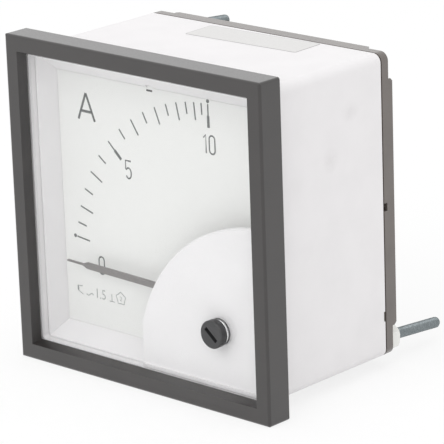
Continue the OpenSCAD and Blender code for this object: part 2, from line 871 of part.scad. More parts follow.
module rear_cover() {
    rim_w = case_in_w - 0.3;
    rim_y = case_rear_y - 1.2;
    socket_front_y = case_rear_y - 6;
    corner_pocket_r = 4;
    joint_groove = 0.35;
    color("#6f6b66") difference() {
        union() {
            // a narrow groove shows where the cover meets the case
            slab(case_rear_y, case_rear_y + joint_groove + past)
                round_square(case_w - 2 * joint_groove, case_corner_r - joint_groove);
            slab(case_rear_y + joint_groove, cover_rear_y) round_square(case_w, case_corner_r);
            // raised cross with bevelled ends, cut back round at the four corners
            difference() {
                intersection() {
                    slab(cover_rear_y - 0.5, raised_rear_y) round_square(case_w, case_corner_r);
                    union() {
                        raised_band(raised_bottom, raised_top);
                        rotate([0, 90, 0]) raised_band(-raised_half_w, raised_half_w);
                    }
                }
                for (sx = [-1, 1], sz = [-1, 1]) translate([sx * rod_x, 0, sz * rod_z])
                    bar(corner_pocket_r, cover_rear_y, raised_rear_y + past);
            }
            // locating rim inside the case, open at the latches
            slab(rim_y, case_rear_y + 0.5) difference() {
                round_square(rim_w, case_in_r);
                round_square(rim_w - 2.4, case_in_r);
                square([case_w, 2 * latch_half_w + 2], center = true);
            }
            rear_latches();
            // sockets for the clamp rods
            for (s = [-1, 1]) slab(socket_front_y, case_rear_y + 0.5)
                translate([s * (rod_x - 0.2), -s * (rod_z - 0.5)]) square([4.2, 5], center = true);
        }
        at_rods() bar(rod_shank_d / 2 + snug, socket_front_y + past, cover_rear_y + past);
        at_studs() bar(stud_d / 2 + fit, case_rear_y - past, raised_rear_y + past);
        // release windows beside the latches
        for (s = [-1, 1]) translate([s * case_w / 2, case_rear_y, 0])
            cube([3, 2.7, 1.7], center = true);
    }
}

module clamp_rods() {
    r = rod_d / 2;
    shank_r = rod_shank_d / 2;
    neck_r = rod_neck_d / 2;
    start = case_rear_y - 5;
    neck_start = clamp_nut_y + clamp_nut_t;
    neck_end = neck_start + 0.3;
    color("#a9b0b0") at_rods() turned() polygon([[0, start], [shank_r, start], [shank_r, neck_start],
        [neck_r, neck_start], [neck_r, neck_end], [r, neck_end], [r, rod_tip_y - 0.3],
        [r - 0.3, rod_tip_y], [0, rod_tip_y]]);
}

module clamp_nuts() {
    color("#f2f2f0") at_rods() translate([0, clamp_nut_y, 0])
        hex_nut(clamp_nut_flats, clamp_nut_t, rod_shank_d / 2 + snug);
}

front_bezel();
window_pane();
case();
dial_surround();
dial_plate();
mechanism_cover();
zero_adjuster();
zero_lever();
hairspring();
pointer();
spindle();
balance_cross();
balance_weights();
moving_iron();
damping_vane();
front_jewel_screw();
rear_jewel_screw();
bearing_bridge();
bridge_pillars();
bridge_screws();
movement_frame();
frame_screws();
carrier_screws();
coil_bobbin();
coil_winding();
fixed_iron();
damping_chamber();
damping_lid();
coil_screws();
coil_leads();
lead_tags();
rear_cover();
terminal_studs();
terminal_nuts();
terminal_washers();
spring_washers();
clamp_rods();
clamp_nuts();
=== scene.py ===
# %% [markdown]
# # A square panel meter with a quarter-circle scale
#
# The meter sits in a 68 mm cut-out of a control panel. Its body comes as a CAD frame: a dark moulded
# bezel with a clear window, a white case, the dial, a moving-iron movement and a brown rear cover.
# Here it gets its looks. What is too fine for the frame is made here too: the print on the dial, the
# blank label on the case and the threads of rods and studs. Lengths are written in millimetres and
# are turned to metres by one constant, because Blender works in metres.

# %% The frame and its box
from math import cos, pi, radians, sin
import bpy
from mathutils import Matrix, Vector


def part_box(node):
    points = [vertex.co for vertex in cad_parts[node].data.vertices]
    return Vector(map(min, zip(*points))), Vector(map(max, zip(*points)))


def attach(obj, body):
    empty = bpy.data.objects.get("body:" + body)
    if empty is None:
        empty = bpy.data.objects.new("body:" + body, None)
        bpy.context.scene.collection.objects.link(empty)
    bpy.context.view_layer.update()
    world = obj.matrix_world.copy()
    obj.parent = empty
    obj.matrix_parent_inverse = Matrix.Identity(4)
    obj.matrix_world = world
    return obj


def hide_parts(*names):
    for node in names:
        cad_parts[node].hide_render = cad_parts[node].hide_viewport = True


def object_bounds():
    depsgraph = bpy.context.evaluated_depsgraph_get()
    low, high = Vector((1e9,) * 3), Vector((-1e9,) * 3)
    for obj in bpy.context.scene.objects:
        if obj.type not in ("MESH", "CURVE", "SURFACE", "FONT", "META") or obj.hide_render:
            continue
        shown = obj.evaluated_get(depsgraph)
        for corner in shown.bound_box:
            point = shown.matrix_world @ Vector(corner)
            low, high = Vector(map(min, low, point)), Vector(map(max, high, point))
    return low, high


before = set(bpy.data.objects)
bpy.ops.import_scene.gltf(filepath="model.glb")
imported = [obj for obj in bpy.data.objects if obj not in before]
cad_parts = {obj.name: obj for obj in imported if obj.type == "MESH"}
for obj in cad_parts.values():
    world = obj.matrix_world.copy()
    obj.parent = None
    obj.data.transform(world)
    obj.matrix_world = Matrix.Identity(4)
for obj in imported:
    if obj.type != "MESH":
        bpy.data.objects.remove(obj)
cad_low, cad_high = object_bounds()
MM = 0.001
print("CAD box in mm:", [round(v / MM, 2) for v in cad_high - cad_low])

# %% [markdown]
# ## Small helpers for materials
#
# Colours are written as sRGB hex values, as a paint chart gives them, and the shader wants linear
# ones, so one function turns them. Another adds a node with its settings and its links, which keeps
# each material readable from its first node to its last. Patterns read Object coordinates, which are
# metres here, so a pattern's scale is one over the size of a grain in metres.

# %% Colour, node and pattern helpers
def colour(hex_value):
    """sRGB hex to a linear colour, by the sRGB standard's own curve."""
    parts = [int(hex_value[i:i + 2], 16) / 255 for i in (1, 3, 5)]
    return tuple(c / 12.92 if c <= 0.04045 else ((c + 0.055) / 1.055) ** 2.4 for c in parts) + (1.0,)


def add(tree, kind, feeds=None, **settings):
    """One node with its settings; feeds gives each socket a value or the socket that drives it."""
    node = tree.nodes.new(kind)
    for name, value in settings.items():
        setattr(node, name, value)
    for name, value in (feeds or {}).items():
        if isinstance(value, bpy.types.NodeSocket):
            tree.links.new(value, node.inputs[name])
        else:
            node.inputs[name].default_value = value
    return node


def grain(size_mm):
    """The scale of a noise whose grains are size_mm wide."""
    return 1 / (size_mm * MM)


def new_material(name):
    """An empty material, its output and the place on the piece."""
    material = bpy.data.materials.new(name)
    material.use_nodes = True
    tree = material.node_tree
    tree.nodes.clear()
    output = add(tree, "ShaderNodeOutputMaterial")
    place = add(tree, "ShaderNodeTexCoord").outputs["Object"]
    return material, tree, output, place


MIX_FACTOR, MIX_A, MIX_B, MIX_RESULT = 0, 6, 7, 2
NOISE = (0.3, 0.7)          # nearly all of a noise lies between these values
NOISE_MIDDLE = (0.35, 0.65)
UNEVEN = 0.05               # how far roughness wanders over a surface


def blend_colours(tree, factor, first, second):
    """A colour between two others."""
    mix = add(tree, "ShaderNodeMix", {MIX_FACTOR: factor, MIX_A: first, MIX_B: second}, data_type="RGBA")
    return mix.outputs[MIX_RESULT]


def spread(tree, value, low, high, to_low=0.0, to_high=1.0):
    """A value stretched from one range to another, and held at its ends."""
    stretch = add(tree, "ShaderNodeMapRange", {"Value": value, "From Min": low, "From Max": high,
                                               "To Min": to_low, "To Max": to_high})
    return stretch.outputs["Result"]


print("middle grey is linear", round(colour("#808080")[0], 3))

# %% [markdown]
# ## Moulded plastics
#
# Bezel, case, surround, covers and adjuster are injection moulded. A mould is spark eroded, so its
# parts come out with a fine even grain that spreads the light, over a faint unevenness where the melt
# cooled. The grain of about 0.1 mm is drawn a little coarser, so that it shows. All go through one
# function, because these parts differ only in colour, gloss and depth of grain. Bezel and rear cover
# have a slightly polished skin, which turns their top faces pale in a low view: a thin coat does that.

# %% Moulded plastic
MOTTLE_MM = 7
SKIN_ROUGHNESS = 0.22


def moulded(name, base, deeper, roughness, grain_mm, grain_depth_mm, ior=1.5):
    """A moulded plastic with its grain and a faint drift of colour from base to deeper."""
    material, tree, output, place = new_material(name)
    drift = add(tree, "ShaderNodeTexNoise", {"Vector": place, "Scale": grain(MOTTLE_MM), "Detail": 4.0})
    share = spread(tree, drift.outputs["Fac"], NOISE_MIDDLE[0], NOISE[1])
    skin = blend_colours(tree, share, colour(base), colour(deeper))
    erosion = add(tree, "ShaderNodeTexNoise", {"Vector": place, "Scale": grain(grain_mm), "Detail": 2.0})
    shine = spread(tree, erosion.outputs["Fac"], *NOISE, roughness - UNEVEN, roughness + UNEVEN)
    bump = add(tree, "ShaderNodeBump", {"Height": erosion.outputs["Fac"], "Strength": 1.0,
                                        "Distance": grain_depth_mm * MM})
    shader = add(tree, "ShaderNodeBsdfPrincipled", {
        "Base Color": skin, "Roughness": shine, "IOR": ior, "Normal": bump.outputs["Normal"]})
    tree.links.new(shader.outputs[0], output.inputs["Surface"])
    return material, tree, shader, place


dark_abs, _, bezel_shader, _ = moulded("dark grained ABS", "#2b2726", "#262322", 0.34, 0.22, 0.004)
rear_abs, _, rear_shader, _ = moulded("brown grey ABS", "#625a55", "#5a524d", 0.46, 0.25, 0.006)
for polished, weight in ((bezel_shader, 0.8), (rear_shader, 1.0)):
    polished.inputs["Coat Weight"].default_value = weight
    polished.inputs["Coat Roughness"].default_value = SKIN_ROUGHNESS
white_abs = moulded("white ABS", "#ebe9ea", "#e8e6e7", 0.42, 0.3, 0.002)[0]
adjuster_abs = moulded("black ABS of the adjuster", "#414142", "#39393a", 0.4, 0.2, 0.003)[0]
bobbin_pa = moulded("black polyamide of the bobbin", "#262626", "#2c2b2a", 0.5, 0.25, 0.004)[0]
white_nylon = moulded("white nylon", "#eeeeea", "#e6e6e2", 0.38, 0.5, 0.002, ior=1.53)[0]
print("moulded plastics: 6")

# %% [markdown]
# ## The case's own white
#
# The case is the same white plastic, but it has been handled and has two faint grey rubs on its right
# side. Each is a soft ball of grey, placed on the wall by a Mapping node and broken up by noise, so
# that it reads as dirt and not as a dot.

# %% White ABS with two rubs
RUBS_MM = [((33, 24.5, 23.0), (2, 3.4, 2.6)), ((33, 18.2, 14.3), (2, 3.0, 3.4))]  # middle, half size
RUB_STRENGTH = 0.12
case_abs, tree, case_shader, place = moulded("white ABS of the case", "#ebe9ea", "#e8e6e7", 0.42, 0.3, 0.002)
skin = case_shader.inputs["Base Color"].links[0].from_socket
dirt = add(tree, "ShaderNodeTexNoise", {"Vector": place, "Scale": grain(1.2), "Detail": 5.0})
for centre, size in RUBS_MM:
    on_wall = add(tree, "ShaderNodeMapping", {
        "Vector": place, "Location": [c * MM for c in centre], "Scale": [s * MM for s in size]},
        vector_type="TEXTURE")
    ball = add(tree, "ShaderNodeTexGradient", {"Vector": on_wall.outputs[0]}, gradient_type="SPHERICAL")
    broken = add(tree, "ShaderNodeMath", {0: ball.outputs["Fac"], 1: dirt.outputs["Fac"]},
                 operation="MULTIPLY")
    rub = spread(tree, broken.outputs[0], 0.05, 0.5, 0.0, RUB_STRENGTH)
    skin = blend_colours(tree, rub, skin, colour("#a3a09f"))
tree.links.new(skin, case_shader.inputs["Base Color"])
print("rubs on the case:", len(RUBS_MM))

# %% [markdown]
# ## Window
#
# The window is a flat acrylic pane. It mirrors a little and shifts the view of the dial, so it is clear
# plastic with its real refraction. Rays that carry lamp light pass straight through, because a path
# tracer finds almost no lamp through bent glass and would leave the dial too dark.

# %% Acrylic pane
acrylic, tree, output, place = new_material("clear acrylic")
haze = add(tree, "ShaderNodeTexNoise", {"Vector": place, "Scale": grain(12), "Detail": 3.0})
clear = add(tree, "ShaderNodeBsdfPrincipled", {
    "Base Color": colour("#fcfdfd"), "IOR": 1.49, "Transmission Weight": 1.0,
    "Roughness": spread(tree, haze.outputs["Fac"], 0.3, 0.8, 0.0, 0.01)})
lamp_rays = add(tree, "ShaderNodeBsdfTransparent", {"Color": colour("#ffffff")})
path = add(tree, "ShaderNodeLightPath")
carries_light = add(tree, "ShaderNodeMath", {
    0: path.outputs["Is Shadow Ray"], 1: path.outputs["Is Diffuse Ray"]}, operation="MAXIMUM")
pane = add(tree, "ShaderNodeMixShader", {
    0: carries_light.outputs[0], 1: clear.outputs[0], 2: lamp_rays.outputs[0]})
tree.links.new(pane.outputs[0], output.inputs["Surface"])
print("window: acrylic, IOR 1.49")

# %% [markdown]
# ## Paint, print and paper
#
# The dial is aluminium sheet with a matt white baked enamel, and its marks are screen printed in dark
# grey ink that lies on it as a thin film. The smallest signs come out paler, because a screen lets
# less ink through a fine line. Fine unevenness in both keeps them from looking drawn. The pointer has
# a thin grey paint. The label on the case is a matt film whose rim is painted grey as its edge shadow.

# %% Coatings
PEEL_PER_SPECK = 6


def coating(name, base, deeper, roughness, speck_mm, depth_mm):
    """A paint, ink or film: a fine speckle of colour over a faint orange peel."""
    material, tree, output, place = new_material(name)
    speck = add(tree, "ShaderNodeTexNoise", {"Vector": place, "Scale": grain(speck_mm), "Detail": 3.0})
    peel = add(tree, "ShaderNodeTexNoise", {
        "Vector": place, "Scale": grain(PEEL_PER_SPECK * speck_mm), "Detail": 1.0})
    share = spread(tree, speck.outputs["Fac"], *NOISE_MIDDLE)
    skin = blend_colours(tree, share, colour(base), colour(deeper))
    bump = add(tree, "ShaderNodeBump", {"Height": peel.outputs["Fac"], "Strength": 1.0,
                                        "Distance": depth_mm * MM})
    shader = add(tree, "ShaderNodeBsdfPrincipled", {
        "Base Color": skin, "Roughness": roughness, "Normal": bump.outputs["Normal"]})
    tree.links.new(shader.outputs[0], output.inputs["Surface"])
    return material


dial_enamel = coating("matt white enamel", "#ebebe9", "#e8e8e6", 0.55, 0.3, 0.002)
print_ink = coating("grey printing ink", "#545857", "#5f6362", 0.6, 0.15, 0.001)
fine_ink = coating("thinly printed ink", "#8d918f", "#979b99", 0.6, 0.15, 0.001)
pointer_paint = coating("thin grey paint", "#787473", "#706c6b", 0.5, 0.2, 0.002)
label_film = coating("matt label film", "#dddcdb", "#d8d7d6", 0.6, 0.4, 0.001)
# painted shade: the grey of the label's rim stands for the shadow along the film's cut edge
label_rim_painted_shadow = coating("painted shadow along the film's rim", "#b9b8b8", "#b2b1b1", 0.5, 0.4, 0.001)
# painted shade: a dark film that stands for the shadow inside the slot over the dial's tongue
slot_painted_shadow = coating("painted shadow inside a slot", "#3c3b3a", "#353433", 0.7, 0.3, 0.001)
print("coatings: 7")

# %% [markdown]
# ## Metals
#
# Rods and screws are zinc plated steel, bluish and slightly cloudy. Nuts and bearings are brass, whose
# turned faces carry fine rings. The damper vane and the balance are bare aluminium sheet with the
# lines of rolling, the frame is a die casting with a grainy skin, and the two irons are annealed soft
# iron. Each metal is one noise, stretched the way its surface was made: equal for plating and casting,
# long for rolled sheet. The winding is copper wire under clear enamel.

# %% Metal finishes
METAL_UNEVEN = 0.06


def metal(name, base, deeper, roughness, streak_mm, depth_mm, coat=0.0):
    """A metal whose finish is a noise with grains of streak_mm along X, Y and Z."""
    material, tree, output, place = new_material(name)
    along = add(tree, "ShaderNodeMapping", {"Vector": place, "Scale": [grain(s) for s in streak_mm]})
    finish = add(tree, "ShaderNodeTexNoise", {"Vector": along.outputs[0], "Scale": 1.0, "Detail": 3.0})
    share = spread(tree, finish.outputs["Fac"], *NOISE_MIDDLE)
    skin = blend_colours(tree, share, colour(base), colour(deeper))
    shine = spread(tree, finish.outputs["Fac"], *NOISE, roughness - METAL_UNEVEN, roughness + METAL_UNEVEN)
    bump = add(tree, "ShaderNodeBump", {"Height": finish.outputs["Fac"], "Strength": 1.0,
                                        "Distance": depth_mm * MM})
    shader = add(tree, "ShaderNodeBsdfPrincipled", {
        "Base Color": skin, "Metallic": 1.0, "Roughness": shine, "Coat Weight": coat,
        "Normal": bump.outputs["Normal"]})
    tree.links.new(shader.outputs[0], output.inputs["Surface"])
    return material


zinc_steel = metal("zinc plated steel", "#8a9194", "#777e80", 0.26, (0.5, 0.5, 0.5), 0.002)
turned_brass = metal("turned brass", "#cdb582", "#bfa672", 0.3, (1.5, 0.12, 1.5), 0.002)
rolled_aluminium = metal("rolled aluminium", "#cfd1d3", "#c3c5c8", 0.36, (4, 0.15, 0.15), 0.002)
cast_alloy = metal("die cast zinc alloy", "#b0ada6", "#a3a09a", 0.45, (0.4, 0.4, 0.4), 0.008)
soft_iron = metal("annealed soft iron", "#8f9194", "#7f8184", 0.42, (0.15, 3, 0.15), 0.002)
copper_wire = metal("enamelled copper", "#b8703f", "#a8612f", 0.28, (0.6, 0.6, 0.6), 0.001, coat=0.6)
print("metals: 6")

# %% [markdown]
# ## Finishes on the CAD nodes
#
# Each CAD node keeps its shape and only swaps the material in its slots.

# %% Who wears what
FINISHES = {
    dark_abs: ["front_bezel"],
    acrylic: ["window_pane"],
    case_abs: ["case"],
    white_abs: ["dial_surround", "mechanism_cover", "damping_chamber", "damping_lid"],
    dial_enamel: ["dial_plate"],
    rear_abs: ["rear_cover"],
    adjuster_abs: ["zero_adjuster"],
    pointer_paint: ["pointer"],
    bobbin_pa: ["coil_bobbin"],
    white_nylon: ["clamp_nuts"],
    zinc_steel: ["spindle", "bridge_screws", "frame_screws", "carrier_screws", "coil_screws", "lead_tags",
                 "spring_washers", "clamp_rods"],
    turned_brass: ["zero_lever", "hairspring", "balance_weights", "front_jewel_screw", "rear_jewel_screw",
                   "bearing_bridge", "bridge_pillars", "terminal_studs", "terminal_nuts",
                   "terminal_washers"],
    rolled_aluminium: ["balance_cross", "damping_vane"],
    cast_alloy: ["movement_frame"],
    soft_iron: ["moving_iron", "fixed_iron"],
    copper_wire: ["coil_winding", "coil_leads"],
}
for finish, nodes in FINISHES.items():
    for node in nodes:
        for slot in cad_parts[node].material_slots:
            slot.material = finish
dressed = {node for nodes in FINISHES.values() for node in nodes}
print("nodes without a finish:", sorted(set(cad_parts) - dressed))

# %% [markdown]
# ## Helpers for new pieces
#
# A new piece is modelled at its place, then its object is set back to the origin, so that its place
# is in its mesh as it is in a CAD node's. It rides on a body and takes a material. Its faces are
# turned outwards, apart from the tiny lettering, which comes out right and which the operator, made
# for fuller shapes, would turn inside out.

# %% Start, finish and copy a piece
SAME_PLACE_MM = 0.0002


def deselect():
    """Nothing selected, object mode."""
    if bpy.context.object and bpy.context.object.mode != "OBJECT":
        bpy.ops.object.mode_set(mode="OBJECT")
    bpy.ops.object.select_all(action="DESELECT")


def select_only(*pieces):
    """These pieces selected, the first one active."""
    deselect()
    for piece in pieces:
        piece.select_set(True)
    bpy.context.view_layer.objects.active = pieces[0]


def settle(piece, name, material, body, turn_outwards=True):
    """Place into the mesh, faces outwards, name, finish and body."""
    select_only(piece)
    bpy.ops.object.transform_apply(location=True, rotation=True, scale=True)
    bpy.ops.object.mode_set(mode="EDIT")
    bpy.ops.mesh.select_all(action="SELECT")
    bpy.ops.mesh.remove_doubles(threshold=SAME_PLACE_MM * MM)
    if turn_outwards:
        bpy.ops.mesh.normals_make_consistent(inside=False)
    bpy.ops.object.mode_set(mode="OBJECT")
    piece.name = piece.data.name = name
    piece.data.materials.clear()
    piece.data.materials.append(material)
    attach(piece, body)
    print(name, "faces:", len(piece.data.polygons))
    return piece


def join(pieces):
    """One piece made of several."""
    select_only(*pieces)
    bpy.ops.object.join()
    return bpy.context.object


def extra_copy(piece):
    """A copy with its own mesh."""
    select_only(piece)
    bpy.ops.object.duplicate(linked=False)
    return bpy.context.object

# %% [markdown]
# ## Scale marks
#
# The scale runs a quarter circle round the pivot in the lower right corner. A moving-iron movement
# has no even scale: the marks crowd near 2 and again near 10, and nothing is marked below 2. One mark
# is modelled as a thin bar of ink, and each copy is turned round the pivot to its own angle, which a
# smooth curve gives for every value. Whole numbers get longer marks, 5 and 10 the longest.

# %% The law of the scale
SCALE_CENTRE = Vector((13.57, 0, -13.67)) * MM
DIAL_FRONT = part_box("dial_plate")[0].y
INK = 0.03 * MM
SCALE_R = 40.0
MARK_W = 0.34
SCALE_LAW = (56.14, 49.13, -12.61, -7.41, 4.61)   # for the 0th to the 4th power of the distance from 6
SCALE_MIDDLE, SCALE_HALF = 6, 4


def scale_angle(value):
    """Degrees up from the left for a value on the scale."""
    distance = (value - SCALE_MIDDLE) / SCALE_HALF
    return sum(share * distance ** power for power, share in enumerate(SCALE_LAW))


print("angles at 2, 5 and 10:", [round(scale_angle(v), 1) for v in (2, 5, 10)])

# %% Bars and dots of ink
FACING_VIEWER = (radians(90), 0, 0)


def ink_bar(inner_r, outer_r, width):
    """A mark that points left of the pivot, from inner_r to outer_r."""
    deselect()
    middle = SCALE_CENTRE.x - (inner_r + outer_r) / 2 * MM
    bpy.ops.mesh.primitive_plane_add(size=1, location=(middle, DIAL_FRONT, SCALE_CENTRE.z),
                                     rotation=FACING_VIEWER)
    bar = bpy.context.object
    bar.scale = ((outer_r - inner_r) * MM, width * MM, 1)
    bpy.ops.object.transform_apply(location=True, rotation=True, scale=True)
    return lift(bar)


def lift(flat):
    """A flat shape on the dial gets the thickness of an ink film, towards the viewer."""
    select_only(flat)
    bpy.ops.object.mode_set(mode="EDIT")
    bpy.ops.mesh.select_all(action="SELECT")
    bpy.ops.mesh.extrude_region_move(TRANSFORM_OT_translate={"value": (0, -INK, 0)})
    bpy.ops.object.mode_set(mode="OBJECT")
    return flat


def turn_to(piece, degrees):
    """Turns a piece round the pivot, clockwise as the viewer sees it."""
    turn = Matrix.Rotation(radians(degrees), 4, "Y")
    piece.data.transform(Matrix.Translation(SCALE_CENTRE) @ turn @ Matrix.Translation(-SCALE_CENTRE))
    return piece


def ink_dot(r_mm, centre_r):
    """A round dot at centre_r left of the pivot."""
    deselect()
    middle = SCALE_CENTRE.x - centre_r * MM
    bpy.ops.mesh.primitive_circle_add(vertices=20, radius=r_mm * MM, fill_type="NGON",
                                      location=(middle, DIAL_FRONT, SCALE_CENTRE.z), rotation=FACING_VIEWER)
    bpy.ops.object.transform_apply(location=True, rotation=True, scale=True)
    return lift(bpy.context.object)


print("ink film in mm:", round(INK / MM, 3))

# %% Marks from 2 to 10 in halves
HALF_FROM, WHOLE_FROM, MAIN_FROM = 37.5, 36.25, 35
DOT_R, DOT_AT = 0.42, 40.6
LOWEST, HIGHEST, MAIN_VALUES = 2, 10, (5, 10)
patterns = {"half": ink_bar(HALF_FROM, SCALE_R, MARK_W), "whole": ink_bar(WHOLE_FROM, SCALE_R, MARK_W),
            "main": join([ink_bar(HALF_FROM, SCALE_R, MARK_W), ink_bar(MAIN_FROM, HALF_FROM, 2 * MARK_W)]),
            "dot": ink_dot(DOT_R, DOT_AT)}
marks = []
for step in range(2 * LOWEST, 2 * HIGHEST + 1):
    value = step / 2
    kind = "main" if value in MAIN_VALUES else "whole" if step % 2 == 0 else "half"
    marks.append(turn_to(extra_copy(patterns[kind]), scale_angle(value)))
for value in (LOWEST, HIGHEST):
    marks.append(turn_to(extra_copy(patterns["dot"]), scale_angle(value)))
for pattern in patterns.values():
    bpy.data.objects.remove(pattern)
settle(join(marks), "scale_marks", print_ink, "meter")

# %% [markdown]
# ## Figures
#
# The figures are narrow, upright and drawn with one even stroke, as on most instruments. A type face
# is never quite like them, so each figure is a path that a stroke follows: a curve gets a round
# bevel, becomes a mesh and is pressed flat, down to the thickness of an ink film.

# %% A stroke of ink
def ink_path(points, width_mm, closed=False):
    """A stroke of ink along points (x, z) on the dial, in mm."""
    deselect()
    bpy.ops.curve.primitive_bezier_curve_add()
    stroke = bpy.context.object
    stroke.data.splines.clear()
    route = stroke.data.splines.new("POLY")
    route.points.add(len(points) - 1)
    for point, (x, z) in zip(route.points, points):
        point.co = (x * MM, z * MM, 0, 1)
    route.use_cyclic_u = closed
    stroke.data.bevel_depth = width_mm / 2 * MM
    stroke.data.bevel_resolution = 1
    stroke.data.use_fill_caps = True
    bpy.ops.object.convert(target="MESH")
    stroke = bpy.context.object
    pressed = Matrix.Diagonal((1, 1, INK / (width_mm / 2 * MM), 1))
    upright = Matrix.Translation((0, DIAL_FRONT, 0)) @ Matrix.Rotation(FACING_VIEWER[0], 4, "X")
    stroke.data.transform(upright @ pressed)
    return stroke


def arc(x, z, radius, start, end, height=1.0, steps=12):
    """Points on an arc from one angle to another, its height stretched by a factor."""
    angles = [radians(start + (end - start) * k / steps) for k in range(steps + 1)]
    return [(x + radius * cos(t), z + height * radius * sin(t)) for t in angles]


print("strokes of ink: ready")

# %% Figures 0, 5 and 10
FIGURE_STROKE = 0.36
FIGURE_R = 0.78
HALF_HIGH = 1.94
FLAG_WIDE, FLAG_HIGH = 0.66, 0.7
STEM_FOOT, BOWL_DOWN, BOWL_TALL = 0.1, 0.75, 1.5


def nought(x, z):
    """A narrow 0 with straight sides."""
    straight = HALF_HIGH - FIGURE_R
    return ink_path(arc(x, z + straight, FIGURE_R, 0, 180) + arc(x, z - straight, FIGURE_R, 180, 360),
                    FIGURE_STROKE, closed=True)


def five(x, z):
    """A 5: a flag, a short stem and a bowl."""
    stem = [(x + FIGURE_R, z + HALF_HIGH), (x - FIGURE_R, z + HALF_HIGH), (x - FIGURE_R, z + STEM_FOOT)]
    bowl = arc(x, z - BOWL_DOWN, FIGURE_R, 140, -150, height=BOWL_TALL)
    return ink_path(stem + bowl, FIGURE_STROKE)


def one(x, z):
    """A 1 with a short flag."""
    flag = (x - FLAG_WIDE, z + HALF_HIGH - FLAG_HIGH)
    return ink_path([flag, (x, z + HALF_HIGH), (x, z - HALF_HIGH)], FIGURE_STROKE)


AT_ZERO, AT_FIVE, AT_TEN = (-19.2, -14.5), (-9.96, 8.4), ((12.6, 17.8), (14.3, 17.8))
settle(join([nought(*AT_ZERO), five(*AT_FIVE), one(*AT_TEN[0]), nought(*AT_TEN[1])]),
       "scale_figures", print_ink, "meter")

# %% The unit
UNIT_STROKE = 0.6
UNIT_X, UNIT_HALF = -21.7, 2.4
UNIT_FOOT, UNIT_BAR, UNIT_TOP = 17.3, 19.2, 23.2
bar_half = UNIT_HALF * (UNIT_TOP - UNIT_BAR) / (UNIT_TOP - UNIT_FOOT)
unit_strokes = [ink_path([(UNIT_X + side * UNIT_HALF, UNIT_FOOT), (UNIT_X, UNIT_TOP)], UNIT_STROKE)
                for side in (-1, 1)]
unit_strokes.append(ink_path([(UNIT_X - bar_half, UNIT_BAR), (UNIT_X + bar_half, UNIT_BAR)], UNIT_STROKE))
settle(join(unit_strokes), "unit_letter", print_ink, "meter")

# %% [markdown]
# ## Symbols
#
# A row of small signs tells a fitter how to use the meter: the sign for a moving-iron movement, a
# wave for alternating current, the accuracy class, the sign for upright mounting and a star with the
# test voltage. They are common signs. Printed this small they come out thin and pale, so they have
# thinner strokes and a lighter ink. The tiny letters are text, made a mesh and fitted to their size.

# %% Tiny printed text
THINNER = -0.012


def printed(words, centre_mm, size_mm):
    """Words as a film of ink, centred on the dial and fitted to a width and a height."""
    deselect()
    bpy.ops.object.text_add()
    text = bpy.context.object
    text.data.body = words
    text.data.size = 1.0
    text.data.offset = THINNER
    text.data.resolution_u = 4
    bpy.ops.object.convert(target="MESH")
    text = bpy.context.object
    xs = [v.co.x for v in text.data.vertices]
    ys = [v.co.y for v in text.data.vertices]
    middle = Vector(((min(xs) + max(xs)) / 2, (min(ys) + max(ys)) / 2, 0))
    fit = Matrix.Diagonal((size_mm[0] * MM / (max(xs) - min(xs)),
                           size_mm[1] * MM / (max(ys) - min(ys)), 1, 1))
    place = Matrix.Translation((centre_mm[0] * MM, DIAL_FRONT, centre_mm[1] * MM))
    upright = Matrix.Rotation(FACING_VIEWER[0], 4, "X")
    text.data.transform(place @ upright @ fit @ Matrix.Translation(-middle))
    return lift(text)


print("tiny text is made thinner by", -THINNER)

# %% Signs at the foot of the dial
FINE = 0.2
SIGN_Z = -21.2
WAVE_AT, WAVE_HALF, WAVE_SWING, WAVE_STEPS = (-23.2, -21.8), 1.03, 0.3, 12
wave = [(WAVE_AT[0] + WAVE_HALF * t / WAVE_STEPS, WAVE_AT[1] + WAVE_SWING * sin(pi * t / WAVE_STEPS))
        for t in range(-WAVE_STEPS, WAVE_STEPS + 1)]
iron = [(-25.4, SIGN_Z + 0.9), (-26.8, SIGN_Z + 0.8), (-26.8, SIGN_Z - 0.2), (-25.3, SIGN_Z - 0.95)]
iron_bar = [(-26.7, SIGN_Z - 0.2), (-26.7, SIGN_Z + 0.8)]
STAR_AT, STAR_TIPS = (-13.9, -20.9), [1.5, 1.15] * 5
star = [(STAR_AT[0] + r * sin(pi * k / 5), STAR_AT[1] + r * cos(pi * k / 5)) for k, r in enumerate(STAR_TIPS)]
upright_foot, upright_stem = [(-17.35, -22.1), (-15.85, -22.1)], [(-16.6, -22.1), (-16.6, -20.4)]
signs = [ink_path(wave, FINE), ink_path(iron, FINE), ink_path(star, FINE, closed=True),
         ink_path(iron_bar, 2.4 * FINE),
         printed("1.5", (-19.8, -21.1), (2.6, 2.1)), printed("2", (-13.9, -20.95), (0.6, 1.0)),
         ink_path(upright_foot, FINE), ink_path(upright_stem, FINE)]
settle(join(signs), "dial_signs", fine_ink, "meter", turn_outwards=False)

# %% [markdown]
# ## Slot over the dial's tongue
#
# A tongue at the dial's top edge hooks into a slot in the surround, and the shade in that slot shows
# as a short dark dash: painted shade, a dark stroke like those of the print, where the slot meets the dial.

# %% The painted shadow in the slot
SLOT_FROM, SLOT_TO = -3.95, -1.9
SLOT_Z, SLOT_HIGH = 26.62, 0.42
# painted shade: a dark stroke on the dial where the slot's shadow falls
slot_shadow_stroke = ink_path([(SLOT_FROM + SLOT_HIGH / 2, SLOT_Z), (SLOT_TO - SLOT_HIGH / 2, SLOT_Z)], SLOT_HIGH)
settle(slot_shadow_stroke, "dial_tongue_slot_painted_shadow", slot_painted_shadow, "meter")
